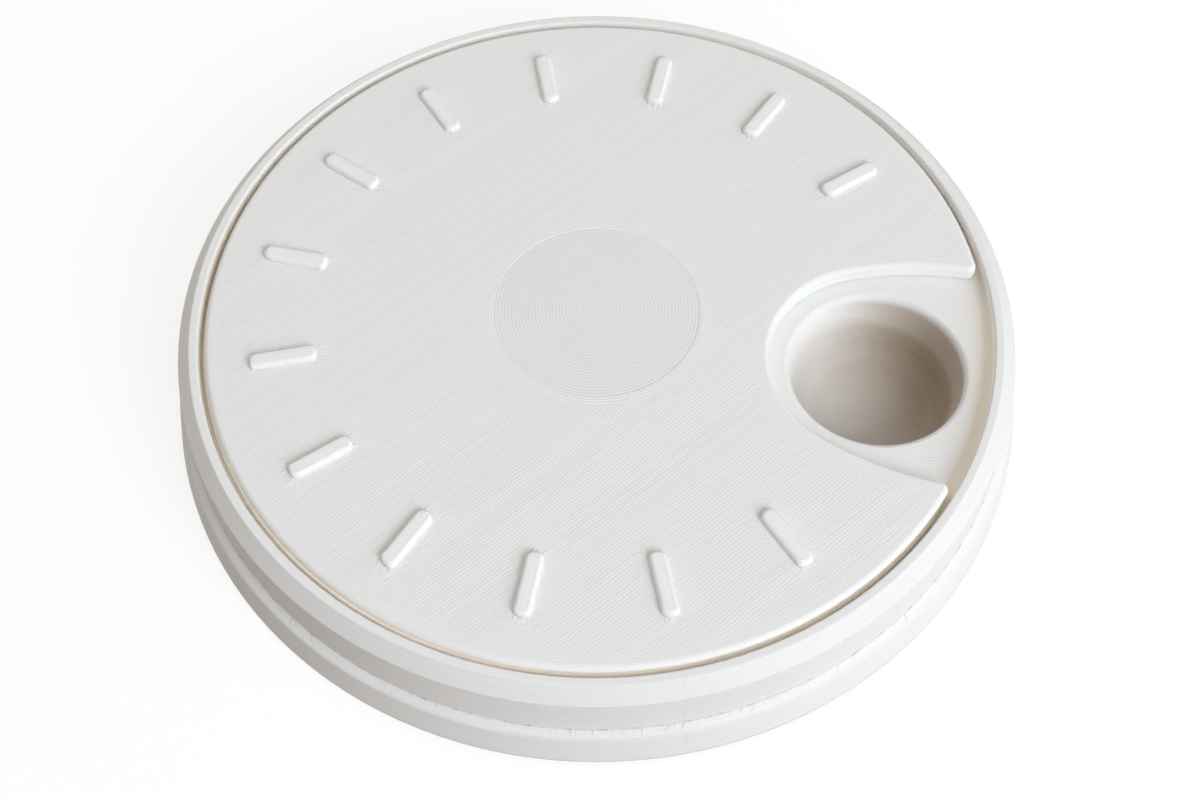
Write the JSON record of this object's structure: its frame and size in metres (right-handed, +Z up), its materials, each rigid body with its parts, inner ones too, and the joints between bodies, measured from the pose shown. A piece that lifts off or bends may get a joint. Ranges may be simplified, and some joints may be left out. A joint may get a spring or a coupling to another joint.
{
  "type": "cat puzzle feeder",
  "caption": "Low round puzzle feeder: a ridged lid turns on a hidden bearing over a ring of cups and bares one cup through its flared window; stacked tray and base on rubber feet.",
  "frame": {"origin": "under the middle of the feeder, on the plane its feet stand on", "axes": "+Z up along the lid's turning axis, +X through the middle of the lid's window and the cup it bares"},
  "size_m": [0.211, 0.211, 0.0289],
  "materials": {
    "lid_plastic": "white printed plastic, fine parallel print lines on top",
    "tray_plastic": "white printed plastic with layer lines",
    "pan_plastic": "white printed plastic with layer lines",
    "brass": "turned brass",
    "screw_steel": "zinc plated steel",
    "bearing_steel": "ground bearing steel",
    "cage_plastic": "moulded nylon",
    "rubber": "soft matte rubber"
  },
  "bodies": {
    "base": {"cup_tray": "tray_plastic", "tray_inserts": "brass", "base_pan": "pan_plastic", "base_screws": "screw_steel", "bearing_outer_ring": "bearing_steel", "bearing_shield_upper": "bearing_steel", "bearing_shield_lower": "bearing_steel", "rubber_foot_1": "rubber", "rubber_foot_2": "rubber", "rubber_foot_3": "rubber", "rubber_foot_4": "rubber", "rubber_foot_5": "rubber", "rubber_foot_6": "rubber"},
    "lid": {"lid_disc": "lid_plastic", "lid_insert": "brass", "pivot_screw": "screw_steel", "pivot_washer": "screw_steel", "bearing_inner_ring": "bearing_steel"},
    "cage": {"bearing_cage": "cage_plastic", "bearing_balls": "bearing_steel"}
  },
  "joints": [
    {"name": "lid_turn", "type": "hinge", "parent": "base", "child": "lid", "pos_m": [0, 0, 0.0185], "axis": [0, 0, 1], "continuous": true},
    {"name": "cage_turn", "type": "hinge", "parent": "base", "child": "cage", "pos_m": [0, 0, 0.0185], "axis": [0, 0, 1], "continuous": true}
  ],
  "couplings": [
    {"joint": "cage_turn", "follows": "lid_turn", "ratio": 0.3677}
  ]
}
